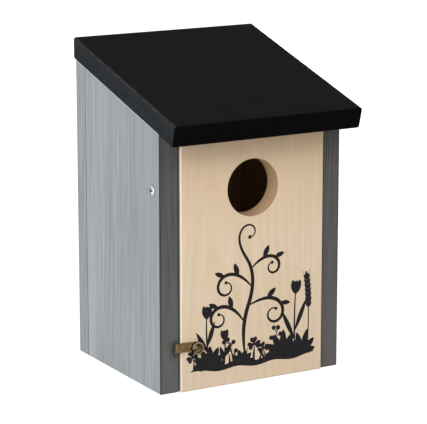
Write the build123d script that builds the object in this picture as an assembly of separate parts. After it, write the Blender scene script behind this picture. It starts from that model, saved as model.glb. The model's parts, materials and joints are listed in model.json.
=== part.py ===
from build123d import *
import math
import os

# A wooden nest box with a sloping roof that overhangs the front. The front is a door: it pivots
# on two screws near its top, and its lower end swings out and up so that the box can be cleaned.
# A small metal turn button at the foot of the door is turned by hand over the edge of the left
# side board.
# Lengths are in millimetres and angles in degrees. +Z is up, the entrance looks along -Y, and
# the origin is the middle of the base, which the box stands on.

# Carcass: two side boards, a back board over their rear ends, and a floor between them
box_width = 150.0
box_depth = 130.0
front_height = 190.0
roof_slope_deg = 15.5
side_thickness = 15.0
back_thickness = 15.0
floor_thickness = 15.0
board_edge_radius = 1.0

# Drain holes in the floor, one near each corner
drain_diameter = 6.0
drain_width_share = 0.63
drain_depth_share = 0.44

# Holes in the back board for the screws that hang the box up
hanging_hole_diameter = 5.0
hanging_low_height = 60.0
hanging_spacing = 120.0

# Roof board: the overhang is level, from the front edges of the sides to the lower front corner
roof_thickness = 16.0
roof_front_overhang = 23.0
roof_side_overhang = 2.0
roof_edge_radius = 2.0

# Door, standing a little proud of the side boards
door_thickness = 16.0
door_proud = 2.5
door_side_gap = 0.7
door_bottom_gap = 0.3
door_floor_gap = 0.8
door_swing_gap = 2.5
door_edge_radius = 0.9

# Entrance, its front rim rounded and its back rim bevelled
entrance_diameter = 42.0
entrance_below_roof = 45.5
entrance_front_radius = 0.8
entrance_back_bevel = 0.8

# Pivot screws: round heads outside, shanks that turn in the side boards and grip the door
pivot_below_roof = 42.0
pivot_setback = 10.0
pivot_screw_diameter = 3.5
pivot_screw_length = 35.0
pivot_head_diameter = 7.0
pivot_head_height = 1.9
pivot_head_gap = 0.1
running_clearance = 0.08
grip_clearance = 0.03
screw_end_gap = 0.5

# Turn button: a strip of sheet metal that leaves a round eye above its middle, its far end bent
# out as a finger lip. The eye stands proud of the strip and is dished for its screw's head.
# At rest the tip points a little upwards.
latch_tilt_deg = 2.0
latch_height = 32.1
latch_inset = 12.7
latch_reach = 19.2
latch_bar_width = 6.7
latch_strip_rise = 1.25
latch_eye_diameter = 9.4
latch_eye_proud = 1.2
latch_dish_depth = 1.0
latch_dish_gap = 0.25
latch_thickness = 1.2
latch_lip_height = 3.2
latch_bend_radius = 0.5
latch_corner_radius = 1.2
latch_edge_bevel = 0.25
latch_play = 0.1

# Screw of the turn button, with a domed slotted head
latch_screw_diameter = 3.0
latch_screw_length = 14.0
latch_head_diameter = 6.4
latch_head_height = 1.6
latch_slot_width = 0.8
latch_slot_depth = 0.8
latch_slot_turn_deg = 20.0

# Countersunk screws through the back board, into the side boards and into the floor
back_screw_diameter = 3.5
back_screw_length = 35.0
back_head_diameter = 7.0
back_head_depth = 2.4
back_head_sink = 0.3
back_screw_height_shares = (0.13, 0.48, 0.83)
back_screw_floor_share = 0.42

# Fluted dowels that hold the roof on the side boards, and the floor between them
dowel_diameter = 6.0
dowel_taper = 0.8
dowel_end_gap = 0.5
dowel_flute_depth = 0.3
roof_dowel_in_roof = 10.0
roof_dowel_in_side = 15.0
roof_dowel_shares = (0.2, 0.78)
floor_dowel_in_side = 8.0
floor_dowel_in_floor = 16.0
floor_dowel_shares = (0.16, 0.84)

# Shapes that the screws share, as parts of their own heads and shanks
head_rim_share = 0.3
tip_length_share = 1.6
recess_span_share = 0.62
recess_width_share = 0.16
recess_depth_share = 0.55
dowel_flute_count = 12
cut_overrun = 1.0

# Planes and heights worked out from the sizes above
front_plane = -box_depth / 2
back_plane = box_depth / 2
back_inner = back_plane - back_thickness
inner_half_width = box_width / 2 - side_thickness
side_middle = box_width / 2 - side_thickness / 2
slope = math.radians(roof_slope_deg)

door_front = front_plane - door_proud
door_back = door_front + door_thickness
door_half_width = inner_half_width - door_side_gap
floor_front = door_back + door_floor_gap
floor_depth = back_inner - floor_front

pivot_y = front_plane + pivot_setback
pivot_z = front_height - pivot_below_roof
entrance_z = front_height - entrance_below_roof
latch_x = latch_inset - door_half_width
latch_bar_back = door_front - latch_play
latch_bar_front = latch_bar_back - latch_thickness
latch_eye_front = latch_bar_front - latch_eye_proud
latch_dish_floor = latch_eye_front + latch_dish_depth
latch_seat = latch_dish_floor - latch_play


def roof_line(y):
    """Height of the roof's underside at a place along the depth of the box."""
    return front_height + (y - front_plane) * math.tan(slope)


def door_top_height():
    """Top of the door: its front corner swings up and in past the roof with the swing gap left."""
    to_roof = (roof_line(pivot_y) - pivot_z) * math.cos(slope)
    corner_reach = to_roof - door_swing_gap
    corner_arm = pivot_y - door_front
    return pivot_z + math.sqrt(corner_reach**2 - corner_arm**2)


def board_from_side_outline(points, width):
    """A board cut to an outline of (depth, height) points, centred across the box."""
    outline = Plane.YZ * Polygon(*points, align=None)
    return extrude(outline, amount=width / 2, both=True)


def cylinder_between(start, direction, diameter, length):
    """A round bar from a start point along a direction."""
    bar = Cylinder(diameter / 2, length, align=(Align.CENTER, Align.CENTER, Align.MIN))
    return Plane(origin=start, z_dir=direction) * bar


def cross_recess(head_diameter, head_height):
    """Cross-shaped driver recess, its mouth at the top of a head that stands on z = 0."""
    span = head_diameter * recess_span_share
    width = head_diameter * recess_width_share
    depth = head_height * recess_depth_share
    arm = Pos(0, 0, head_height - depth) * Box(
        span, width, depth + cut_overrun, align=(Align.CENTER, Align.CENTER, Align.MIN)
    )
    return arm + Rot(0, 0, 90) * arm


def round_head(diameter, height):
    """Domed screw head with its flat seat on z = 0 and its crown up."""
    radius = diameter / 2
    rise = height * (1 - head_rim_share)
    ball_radius = (radius**2 + rise**2) / (2 * rise)
    blank = Cylinder(radius, height, align=(Align.CENTER, Align.CENTER, Align.MIN))
    return blank & Pos(0, 0, height - ball_radius) * Sphere(ball_radius)


def screw_shank(diameter, length):
    """Plain shank hanging down from z = 0 to a point."""
    tip = diameter * tip_length_share
    straight = length - tip
    shank = Pos(0, 0, -straight / 2) * Cylinder(diameter / 2, straight)
    return shank + Pos(0, 0, -straight - tip / 2) * Cone(0, diameter / 2, tip)


def pivot_screw():
    """Round-headed screw, seat on z = 0, that the door hangs on."""
    head = round_head(pivot_head_diameter, pivot_head_height)
    head -= cross_recess(pivot_head_diameter, pivot_head_height)
    return head + screw_shank(pivot_screw_diameter, pivot_screw_length)


def button_screw():
    """Domed slotted screw, seat on z = 0, that the turn button turns on."""
    head = round_head(latch_head_diameter, latch_head_height)
    slot = Pos(0, 0, latch_head_height - latch_slot_depth) * Box(
        latch_head_diameter + cut_overrun,
        latch_slot_width,
        latch_slot_depth + cut_overrun,
        align=(Align.CENTER, Align.CENTER, Align.MIN),
    )
    head -= Rot(0, 0, latch_slot_turn_deg) * slot
    return head + screw_shank(latch_screw_diameter, latch_screw_length)


def back_screw():
    """Countersunk screw with the flat of its head on z = 0."""
    cone = Cone(back_screw_diameter / 2, back_head_diameter / 2, back_head_depth)
    head = Pos(0, 0, -back_head_depth / 2) * cone
    recess = Pos(0, 0, -back_head_depth) * cross_recess(back_head_diameter, back_head_depth)
    return (head - recess) + screw_shank(back_screw_diameter, back_screw_length)


def back_screw_hole():
    """The hole of a back screw, with its countersink, open at z = back_head_sink."""
    shank_diameter = back_screw_diameter + 2 * grip_clearance
    head_diameter = back_head_diameter + 2 * grip_clearance
    bore_length = back_screw_length + screw_end_gap
    bore = Pos(0, 0, -bore_length / 2) * Cylinder(shank_diameter / 2, bore_length)
    cone = Cone(shank_diameter / 2, head_diameter / 2, back_head_depth)
    mouth_length = back_head_sink + cut_overrun
    mouth = Pos(0, 0, mouth_length / 2) * Cylinder(head_diameter / 2, mouth_length)
    return bore + Pos(0, 0, -back_head_depth / 2) * cone + mouth


def back_screw_planes():
    """Planes at the heads of the back screws, facing out of the back of the box."""
    head_y = back_plane - back_head_sink
    heights = [share * roof_line(back_inner) for share in back_screw_height_shares]
    spots = [(side * side_middle, height) for side in (-1, 1) for height in heights]
    floor_x = inner_half_width * back_screw_floor_share
    spots += [(side * floor_x, floor_thickness / 2) for side in (-1, 1)]
    return [Plane(origin=(x, head_y, z), z_dir=(0, 1, 0)) for x, z in spots]


def back_screw_holes():
    """All holes of the back screws, as one tool to cut with."""
    hole = back_screw_hole()
    return [plane * hole for plane in back_screw_planes()]


def fluted_outline(radius, height):
    """Outline of a dowel at a height: ridges on its radius, with sharp flutes between them."""
    points = []
    for i in range(2 * dowel_flute_count):
        angle = math.pi * i / dowel_flute_count
        reach = radius if i % 2 == 0 else radius - dowel_flute_depth
        points.append((reach * math.cos(angle), reach * math.sin(angle)))
    return Pos(0, 0, height) * Polygon(*points, align=None)


def dowel(length):
    """Fluted pin along +Z, tapered at both ends."""
    full = dowel_diameter / 2
    narrow = full - dowel_taper
    sections = [
        fluted_outline(narrow, 0),
        fluted_outline(full, dowel_taper),
        fluted_outline(full, length - dowel_taper),
        fluted_outline(narrow, length),
    ]
    return loft(sections, ruled=True)


def roof_dowel_planes():
    """Planes on the joint of roof and sides, one for each dowel, square to the slope."""
    side_length = back_inner - front_plane
    depths = [front_plane + share * side_length for share in roof_dowel_shares]
    up = (0, -math.sin(slope), math.cos(slope))
    return [
        Plane(origin=(side * side_middle, y, roof_line(y)), x_dir=(1, 0, 0), z_dir=up)
        for side in (-1, 1)
        for y in depths
    ]


def floor_dowel_planes():
    """Planes on the joint of floor and sides, one for each dowel, facing out of the box."""
    depths = [floor_front + share * floor_depth for share in floor_dowel_shares]
    return [
        Plane(origin=(side * inner_half_width, y, floor_thickness / 2), z_dir=(side, 0, 0))
        for side in (-1, 1)
        for y in depths
    ]


def dowel_hole(behind, ahead):
    """Hole for a dowel that reaches behind and ahead of a joint, with room at both ends."""
    length = behind + ahead + 2 * dowel_end_gap
    hole = Cylinder(dowel_diameter / 2 + grip_clearance, length)
    return Pos(0, 0, (ahead - behind) / 2) * hole


def dowel_holes():
    """All dowel holes, as one tool to cut with."""
    roof_hole = dowel_hole(roof_dowel_in_side, roof_dowel_in_roof)
    floor_hole = dowel_hole(floor_dowel_in_floor, floor_dowel_in_side)
    holes = [plane * roof_hole for plane in roof_dowel_planes()]
    holes += [plane * floor_hole for plane in floor_dowel_planes()]
    return holes


def round_edges(board):
    """A board with its upright edges and the edges of its foot rounded."""
    foot = board.faces().sort_by(Axis.Z)[0]
    return fillet(board.edges().filter_by(Axis.Z) + foot.edges(), board_edge_radius)


def side_board(side):
    """Side board, side -1 for the left one and 1 for the right one as seen from the front."""
    outline = [
        (front_plane, 0),
        (back_inner, 0),
        (back_inner, roof_line(back_inner)),
        (front_plane, front_height),
    ]
    board = round_edges(board_from_side_outline(outline, side_thickness))
    board = Pos(side * side_middle, 0, 0) * board
    pivot_bore = cylinder_between(
        (side * (box_width / 2 + cut_overrun), pivot_y, pivot_z),
        (-side, 0, 0),
        pivot_screw_diameter + 2 * running_clearance,
        side_thickness + 2 * cut_overrun,
    )
    return board - [pivot_bore] - back_screw_holes() - dowel_holes()


def back_board():
    """Back board across the whole width, its top cut to the slope of the roof."""
    outline = [
        (back_inner, 0),
        (back_plane, 0),
        (back_plane, roof_line(back_plane)),
        (back_inner, roof_line(back_inner)),
    ]
    board = round_edges(board_from_side_outline(outline, box_width))
    for step in (0, 1):
        height = hanging_low_height + step * hanging_spacing
        board -= cylinder_between(
            (0, back_inner - cut_overrun, height),
            (0, 1, 0),
            hanging_hole_diameter,
            back_thickness + 2 * cut_overrun,
        )
    return board - back_screw_holes()


def floor_board():
    """Floor between the side boards, with its drain holes."""
    middle_y = floor_front + floor_depth / 2
    board = Pos(0, middle_y, floor_thickness / 2) * Box(
        2 * inner_half_width, floor_depth, floor_thickness
    )
    drain_x = inner_half_width * drain_width_share
    drain_y = floor_depth / 2 * drain_depth_share
    for x in (-drain_x, drain_x):
        for y in (middle_y - drain_y, middle_y + drain_y):
            board -= cylinder_between(
                (x, y, -cut_overrun), (0, 0, 1), drain_diameter, floor_thickness + 2 * cut_overrun
            )
    return board - back_screw_holes() - dowel_holes()


def roof_board():
    """Roof board: front end square to the slope, rear end upright, all edges rounded."""
    low_front = (front_plane - roof_front_overhang, roof_line(front_plane - roof_front_overhang))
    high_front = (
        low_front[0] - roof_thickness * math.sin(slope),
        low_front[1] + roof_thickness * math.cos(slope),
    )
    low_back = (back_plane, roof_line(back_plane))
    high_back = (back_plane, low_back[1] + roof_thickness / math.cos(slope))
    outline = [low_front, low_back, high_back, high_front]
    board = board_from_side_outline(outline, box_width + 2 * roof_side_overhang)
    board = fillet(board.edges(), roof_edge_radius)
    return board - dowel_holes()


def front_door():
    """Door with the entrance, bored for the pivot screws and the turn button's screw."""
    top = door_top_height()
    height = top - door_bottom_gap
    middle_y = (door_front + door_back) / 2
    board = Pos(0, middle_y, door_bottom_gap + height / 2) * Box(
        2 * door_half_width, door_thickness, height
    )
    front_face = board.faces().sort_by(Axis.Y)[0]
    board = fillet(front_face.edges(), door_edge_radius)
    board -= cylinder_between(
        (0, door_front - cut_overrun, entrance_z),
        (0, 1, 0),
        entrance_diameter,
        door_thickness + 2 * cut_overrun,
    )
    board = chamfer(entrance_rims(board)[-1], entrance_back_bevel)
    board = fillet(entrance_rims(board)[0], entrance_front_radius)
    return board - door_screw_holes()


def entrance_rims(board):
    """The circles at the ends of the entrance's bore, the front one first."""
    circles = board.edges().filter_by(GeomType.CIRCLE)
    on_bore = circles.filter_by(lambda edge: math.isclose(edge.radius, entrance_diameter / 2))
    return on_bore.sort_by(Axis.Y)


def door_screw_holes():
    """Blind holes in the door for the two pivot screws and the turn button's screw."""
    pivot_bite = pivot_screw_length - side_thickness - door_side_gap - pivot_head_gap
    holes = [
        cylinder_between(
            (side * (door_half_width + cut_overrun), pivot_y, pivot_z),
            (-side, 0, 0),
            pivot_screw_diameter + 2 * grip_clearance,
            cut_overrun + pivot_bite + screw_end_gap,
        )
        for side in (-1, 1)
    ]
    button_bite = latch_screw_length - (door_front - latch_seat)
    button_hole = cylinder_between(
        (latch_x, door_front - cut_overrun, latch_height),
        (0, 1, 0),
        latch_screw_diameter + 2 * grip_clearance,
        cut_overrun + button_bite + screw_end_gap,
    )
    return holes + [button_hole]


def hinge_screws():
    """The two pivot screws, their heads just off the outer faces of the side boards."""
    head_x = box_width / 2 + pivot_head_gap
    screw = pivot_screw()
    return [
        Plane(origin=(side * head_x, pivot_y, pivot_z), z_dir=(side, 0, 0)) * screw
        for side in (-1, 1)
    ]


def bent_strip():
    """The turn button's strip and finger lip, as one bent profile drawn out to its width."""
    strip_z = latch_height + latch_strip_rise
    tip_x = latch_x - latch_reach
    strip = Pos((tip_x + latch_x) / 2, (latch_bar_back + latch_bar_front) / 2) * Rectangle(
        latch_reach, latch_thickness
    )
    lip = Pos(tip_x + latch_thickness / 2, latch_bar_back - latch_lip_height / 2) * Rectangle(
        latch_thickness, latch_lip_height
    )
    profile = strip + lip
    outer = profile.vertices().sort_by_distance((tip_x, latch_bar_back, 0))[0]
    profile = fillet(outer, latch_bend_radius + latch_thickness)
    inner = profile.vertices().sort_by_distance((tip_x + latch_thickness, latch_bar_front, 0))[0]
    profile = fillet(inner, latch_bend_radius)
    bar = Pos(0, 0, strip_z) * extrude(profile, amount=latch_bar_width / 2, both=True)
    lip_end = bar.faces().sort_by(Axis.Y)[0]
    bar = fillet(lip_end.edges().filter_by(Axis.X), latch_corner_radius)
    outer_face = bar.faces().filter_by(Axis.Y).sort_by(Axis.Y)[1]
    return chamfer(outer_face.edges().filter_by(Axis.X), latch_edge_bevel)


def round_eye():
    """The turn button's eye before its holes: a round boss with a bevelled rim."""
    boss = cylinder_between(
        (latch_x, latch_eye_front, latch_height),
        (0, 1, 0),
        latch_eye_diameter,
        latch_thickness + latch_eye_proud,
    )
    return chamfer(boss.faces().sort_by(Axis.Y)[0].edges(), latch_edge_bevel)


def latch_bar():
    """Turn button: the bent strip and its eye, dished and bored, turned to its tilt at rest."""
    dish = cylinder_between(
        (latch_x, latch_dish_floor, latch_height),
        (0, -1, 0),
        latch_head_diameter + 2 * latch_dish_gap,
        latch_dish_depth + cut_overrun,
    )
    hole = cylinder_between(
        (latch_x, latch_eye_front - cut_overrun, latch_height),
        (0, 1, 0),
        latch_screw_diameter + 2 * running_clearance,
        latch_thickness + latch_eye_proud + 2 * cut_overrun,
    )
    bar = bent_strip() + round_eye() - dish - hole
    pivot = Axis((latch_x, latch_bar_front, latch_height), (0, 1, 0))
    return bar.rotate(pivot, latch_tilt_deg)


def latch_screw():
    """The turn button's screw, its head clear of the dish by the same play as behind the strip."""
    plane = Plane(origin=(latch_x, latch_seat, latch_height), x_dir=(1, 0, 0), z_dir=(0, -1, 0))
    return plane * button_screw()


def back_screws():
    """The screws that hold the back board on the side boards and the floor."""
    screw = back_screw()
    return [plane * screw for plane in back_screw_planes()]


def roof_dowels():
    """The dowels between the side boards and the roof."""
    pin = Pos(0, 0, -roof_dowel_in_side) * dowel(roof_dowel_in_side + roof_dowel_in_roof)
    return [plane * pin for plane in roof_dowel_planes()]


def floor_dowels():
    """The dowels between the floor and the side boards."""
    pin = Pos(0, 0, -floor_dowel_in_floor) * dowel(floor_dowel_in_floor + floor_dowel_in_side)
    return [plane * pin for plane in floor_dowel_planes()]


def solids_of(shape):
    """Every solid in a shape or in a list of shapes."""
    shapes = shape if isinstance(shape, list) else [shape]
    return [solid for item in shapes for solid in item.solids()]


nodes = {
    "left_side": side_board(-1),
    "right_side": side_board(1),
    "back_board": back_board(),
    "floor_board": floor_board(),
    "roof_board": roof_board(),
    "front_door": front_door(),
    "hinge_screws": hinge_screws(),
    "latch_bar": latch_bar(),
    "latch_screw": latch_screw(),
    "back_screws": back_screws(),
    "roof_dowels": roof_dowels(),
    "floor_dowels": floor_dowels(),
}

os.makedirs("parts", exist_ok=True)
for name, shape in nodes.items():
    solids = solids_of(shape)
    export_step(Compound(children=solids), f"parts/{name}.step")
    print(name, len(solids), "solids")
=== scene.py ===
# %% [markdown]
# # A wooden nest box
# This lesson dresses a finished CAD model of a nest box: grey stained boards, a black roof, a pale
# door that swings out and up, and a small bronze turn button that holds it shut.
#
# The shapes of the boards and fittings come from the CAD model and aren't touched here. Blender
# adds what CAD leaves out: the wood and its finishes, the printed ornament on the door, and light.
# One unit is one metre, Z is up, and the entrance looks along -Y.

# %% Load the frame
import bmesh
import bpy
import json
import math
import random
from mathutils import Matrix, Vector


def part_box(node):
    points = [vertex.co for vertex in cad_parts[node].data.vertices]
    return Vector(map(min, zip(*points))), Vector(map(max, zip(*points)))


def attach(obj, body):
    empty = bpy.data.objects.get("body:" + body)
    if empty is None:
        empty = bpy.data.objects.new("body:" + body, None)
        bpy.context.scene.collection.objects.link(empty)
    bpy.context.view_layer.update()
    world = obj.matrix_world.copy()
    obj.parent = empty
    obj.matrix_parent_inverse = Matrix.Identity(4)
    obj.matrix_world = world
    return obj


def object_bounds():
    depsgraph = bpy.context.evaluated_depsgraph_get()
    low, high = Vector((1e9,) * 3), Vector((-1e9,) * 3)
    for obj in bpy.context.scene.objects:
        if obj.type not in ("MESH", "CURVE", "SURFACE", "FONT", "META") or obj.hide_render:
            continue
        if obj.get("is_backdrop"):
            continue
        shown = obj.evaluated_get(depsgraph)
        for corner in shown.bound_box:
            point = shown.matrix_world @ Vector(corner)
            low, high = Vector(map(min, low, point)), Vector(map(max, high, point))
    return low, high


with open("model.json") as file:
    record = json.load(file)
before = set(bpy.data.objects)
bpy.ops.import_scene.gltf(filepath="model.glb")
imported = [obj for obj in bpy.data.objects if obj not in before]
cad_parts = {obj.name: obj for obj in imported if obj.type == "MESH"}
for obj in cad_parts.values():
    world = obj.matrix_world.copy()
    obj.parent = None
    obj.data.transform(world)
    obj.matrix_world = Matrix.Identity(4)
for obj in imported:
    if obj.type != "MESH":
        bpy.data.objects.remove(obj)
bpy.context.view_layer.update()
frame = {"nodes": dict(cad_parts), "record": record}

mm = 0.001
print("nodes:", ", ".join(sorted(frame["nodes"])))

# %% [markdown]
# ## Places to build from
# What follows is placed from the boxes of the CAD pieces where it can be, so the lesson keeps up
# with changes in the CAD model.

# %% Read the places of the main pieces
door_low, door_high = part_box("front_door")
side_low, side_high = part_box("left_side")
back_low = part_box("back_board")[0]
roof_low, roof_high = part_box("roof_board")
door_face = door_low.y
inner_half_width = -side_high.x
pivot, button_pivot = (Vector(joint["pos_m"]) for joint in frame["record"]["behaviour"]["joints"])
entrance = next(mount for mount in frame["record"]["mounts"] if mount["name"] == "entrance_hole")
entrance_place = Vector(entrance["pos_m"])
entrance_radius = entrance["dims"]["r_mm"] * mm
print(f"door face at y = {door_face / mm:.1f} mm, inside half width {inner_half_width / mm:.1f} mm")

# %% [markdown]
# ## Camera
# The photo was taken with a long lens from the left, a little above the roof. The place, the turn
# and the lens were fitted to the edges of the boards, so the picture can be laid over the photo.
# A long lens keeps upright edges nearly parallel, and no focus blur is used, as in a shop picture.

# %% Camera
def add_object(name, data):
    """An object that shows some data, linked to the scene."""
    added = bpy.data.objects.new(name, data)
    bpy.context.collection.objects.link(added)
    return added


picture_width, picture_height = 427, 424
focal_pixels = 2121.8
eye_place = Vector((-763.62, -1341.04, 462.89)) * mm
eye_turn, eye_tilt = 0.52083, 0.22247
picture_centre = (213.3, 211.2)

camera_data = bpy.data.cameras.new("camera")
camera_data.sensor_width = 36
camera_data.lens = focal_pixels / picture_width * camera_data.sensor_width
camera_data.shift_x = (picture_width / 2 - picture_centre[0]) / picture_width
camera_data.shift_y = (picture_centre[1] - picture_height / 2) / picture_width
camera_data.clip_start = 0.05
camera = add_object("camera", camera_data)
camera.location = eye_place
camera.rotation_euler = (math.pi / 2 - eye_tilt, 0, -eye_turn)
bpy.context.scene.camera = camera
bpy.context.scene.view_settings.view_transform = "Standard"
print(f"lens {camera_data.lens:.1f} mm")

# %% [markdown]
# ## Helpers for node trees
# Materials are small machines of nodes. `add_node` adds one, sets its properties and fills its
# sockets from a dictionary. A value that is itself an output socket is linked, anything else is
# simply set. That keeps each recipe as short as its list of steps.

# %% Node helpers
nodes_in_row, node_width, node_height = 9, 190, 260


def feed(tree, node, sockets):
    """Links or sets sockets, given by number or by name; an underscore stands for a space."""
    for name, value in sockets.items():
        socket = node.inputs[name.replace("_", " ") if isinstance(name, str) else name]
        if isinstance(value, bpy.types.NodeSocket):
            tree.links.new(value, socket)
        else:
            socket.default_value = value


def add_node(tree, kind, sockets=None, **properties):
    """Adds a node and lays it out in rows, so that the tree can be read in the editor."""
    node = tree.nodes.new("ShaderNode" + kind)
    row, column = divmod(len(tree.nodes), nodes_in_row)
    node.location = (node_width * column, -node_height * row)
    for name, value in properties.items():
        setattr(node, name, value)
    feed(tree, node, sockets or {})
    return node

# %% [markdown]
# ## Steps of a recipe
# These add the nodes that recipes use most, and return the output to go on with. With them a
# recipe reads like arithmetic.

# %% Step helpers
def maths(tree, operation, *values, clamp=False):
    """A Math node; returns its output."""
    sockets = dict(enumerate(values))
    return add_node(tree, "Math", sockets, operation=operation, use_clamp=clamp).outputs[0]


def vector_maths(tree, operation, *values):
    """A Vector Math node; returns its vector, or for a length its number."""
    node = add_node(tree, "VectorMath", dict(enumerate(values)), operation=operation)
    return node.outputs["Value" if operation == "LENGTH" else "Vector"]


def split(tree, vector):
    """The X, Y and Z of a vector."""
    return add_node(tree, "SeparateXYZ", {0: vector}).outputs


def remap(tree, value, low, high, to_low=0.0, to_high=1.0, smooth=True):
    """Brings a value from one range to another, with soft ends."""
    return add_node(
        tree, "MapRange",
        {"Value": value, "From Min": low, "From Max": high, "To Min": to_low, "To Max": to_high},
        interpolation_type="SMOOTHSTEP" if smooth else "LINEAR",
    ).outputs["Result"]


def mix_colours(tree, share, first, second):
    """Mixes two colours by a share from 0 to 1; numbers 6 and 7 are the node's colour inputs."""
    return add_node(tree, "Mix", {0: share, 6: first, 7: second}, data_type="RGBA").outputs[2]


def tint(tree, colour, mask, strength, other):
    """Brings a colour towards another where a mask is 1, as far as the strength says."""
    return mix_colours(tree, maths(tree, "MULTIPLY", mask, strength), colour, other)


def noise(tree, vector, scale, detail=2.0, roughness=0.5):
    """Cloudy noise around 0.5."""
    sockets = {"Vector": vector, "Scale": scale, "Detail": detail, "Roughness": roughness}
    return add_node(tree, "TexNoise", sockets).outputs[0]

# %% [markdown]
# ## Shader groups
# A group is a recipe that several materials share, with inputs and outputs of its own. Five simple
# patterns follow as groups: rings, fibres, edges and two shapes of mask.

# %% Group helpers
def new_group(name, outputs, **inputs):
    """An empty shader group that takes a place and named values, and what it is given."""
    tree = bpy.data.node_groups.new(name, "ShaderNodeTree")
    for label, start in {"Vector": (0, 0, 0), **inputs}.items():
        kind = "NodeSocketVector" if isinstance(start, tuple) else "NodeSocketFloat"
        socket = tree.interface.new_socket(label.replace("_", " "), in_out="INPUT", socket_type=kind)
        socket.default_value = start
    for label in outputs:
        tree.interface.new_socket(label, in_out="OUTPUT", socket_type="NodeSocketFloat")
    return tree, tree.nodes.new("NodeGroupInput").outputs


def close_group(tree, **results):
    """Wires results to the group's outputs."""
    way_out = tree.nodes.new("NodeGroupOutput")
    feed(tree, way_out, results)
    print(f"group {tree.name}: {len(tree.nodes)} nodes")
    return tree


def use_group(tree, group, **sockets):
    """Places a group in a material."""
    node = add_node(tree, "Group", node_tree=group)
    feed(tree, node, sockets)
    return node.outputs

# %% [markdown]
# ## Growth rings
# A board is a slice of a trunk, and its figure is the cut through the trunk's rings. So the rings
# are made as a solid: each point asks how far it is from the pith, and where in a ring that falls.
# A ring is pale spring wood that darkens slowly and ends at once in the line of autumn wood.
# The trunk isn't a true cone, so a slow noise bends the distance. Because the pattern is solid, it
# runs on round every edge and shows as arcs on the sawn ends, as in real wood.

# %% Group: growth rings
tree, given = new_group("growth rings", ["Rings"], Ring_Width=2 * mm, Wander=4 * mm)
slow_place = vector_maths(tree, "MULTIPLY", given["Vector"], (1, 1, 0.12))
bend = noise(tree, slow_place, 28.0, 2.0)
bend = maths(tree, "MULTIPLY", maths(tree, "SUBTRACT", bend, 0.5), given["Wander"])
radius = vector_maths(tree, "LENGTH", vector_maths(tree, "MULTIPLY", given["Vector"], (1, 1, 0)))
age = maths(tree, "DIVIDE", maths(tree, "ADD", radius, bend), given["Ring Width"])
in_ring = maths(tree, "FRACT", age)
darkening = remap(tree, in_ring, 0.30, 0.90)
ending = remap(tree, in_ring, 0.90, 1.0, 1.0, 0.0)
year = add_node(
    tree, "TexWhiteNoise", {"W": maths(tree, "FLOOR", age)}, noise_dimensions="1D"
).outputs["Value"]
strength = remap(tree, year, 0.0, 1.0, 0.45, 1.0, smooth=False)
rings = maths(tree, "MULTIPLY", maths(tree, "MULTIPLY", darkening, ending), strength)
growth_rings = close_group(tree, Rings=rings)

# %% [markdown]
# ## Fibres
# Planed softwood shows streaks along the grain. They are noise squeezed across the grain and drawn
# out along it. Three sizes are given, from single fibres to bands of a few millimetres, because
# one alone looks like combed hair: the finest show close up, and the bands from across a room.

# %% Group: fibres
tree, given = new_group("fibres", ["Fine", "Medium", "Broad"], Width=0.6 * mm, Stretch=60.0)
squeeze = maths(tree, "DIVIDE", 1.0, given["Width"])
along = maths(tree, "DIVIDE", squeeze, given["Stretch"])
scale = add_node(tree, "CombineXYZ", {0: squeeze, 1: squeeze, 2: along}).outputs[0]
place = vector_maths(tree, "MULTIPLY", given["Vector"], scale)
fine = remap(tree, noise(tree, place, 1.0, 3.0, 0.6), 0.3, 0.7)
medium = remap(tree, noise(tree, place, 0.38, 1.0, 0.5), 0.36, 0.64)
broad = remap(tree, noise(tree, place, 0.13, 2.0, 0.5), 0.34, 0.66)
fibres = close_group(tree, Fine=fine, Medium=medium, Broad=broad)

# %% [markdown]
# ## Distance to the nearest edge
# Edges are where paint thins and hands rub, and where a highlight is painted. In a box-shaped
# piece, the distance to each pair of faces is half the size less the distance from the middle.
# One of the three is nought on a face, and two are on an edge, so the middle one of the three is
# the distance to the nearest edge.

# %% Group: edge distance
tree, given = new_group(
    "edge distance", ["Edge"], Middle=(0, 0, 0), Half_Size=(1, 1, 1), Reach=2 * mm
)
from_middle = vector_maths(tree, "SUBTRACT", given["Vector"], given["Middle"])
spread = vector_maths(tree, "ABSOLUTE", from_middle)
parts = split(tree, vector_maths(tree, "SUBTRACT", given["Half Size"], spread))
smaller = maths(tree, "MINIMUM", parts[0], parts[1])
larger = maths(tree, "MAXIMUM", parts[0], parts[1])
middle_one = maths(tree, "MAXIMUM", smaller, maths(tree, "MINIMUM", larger, parts[2]))
edge = remap(tree, maths(tree, "DIVIDE", middle_one, given["Reach"]), 0.0, 1.0, 1.0, 0.0)
edge_distance = close_group(tree, Edge=edge)

# %% [markdown]
# ## Inside a block
# Some finishes stop at a line, such as stain that was brushed on the outside only. This group says
# where a point lies inside a block of space, with a soft border, and the finish is mixed by it.

# %% Group: inside a block
tree, given = new_group(
    "inside block", ["Inside"], Low=(0, 0, 0), High=(1, 1, 1), Softness=0.4 * mm
)
above = vector_maths(tree, "SUBTRACT", given["Vector"], given["Low"])
below = vector_maths(tree, "SUBTRACT", given["High"], given["Vector"])
parts = split(tree, vector_maths(tree, "MINIMUM", above, below))
least = maths(tree, "MINIMUM", maths(tree, "MINIMUM", parts[0], parts[1]), parts[2])
inside = maths(tree, "ADD", maths(tree, "DIVIDE", least, given["Softness"]), 0.5, clamp=True)
inside_block = close_group(tree, Inside=inside)

# %% [markdown]
# ## Around a point
# A ring of painted shade lies where a screw head meets the wood. This group gives a soft round
# spot about an axis: the difference from a middle point, with the direction of the axis
# multiplied away.

# %% Group: around a point
tree, given = new_group(
    "around point", ["Near"], Middle=(0, 0, 0), Across=(0, 1, 1), Inner=3 * mm, Outer=5 * mm
)
offset = vector_maths(tree, "SUBTRACT", given["Vector"], given["Middle"])
reach = vector_maths(tree, "LENGTH", vector_maths(tree, "MULTIPLY", offset, given["Across"]))
near = remap(tree, reach, given["Inner"], given["Outer"], 1.0, 0.0)
around_point = close_group(tree, Near=near)

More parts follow.
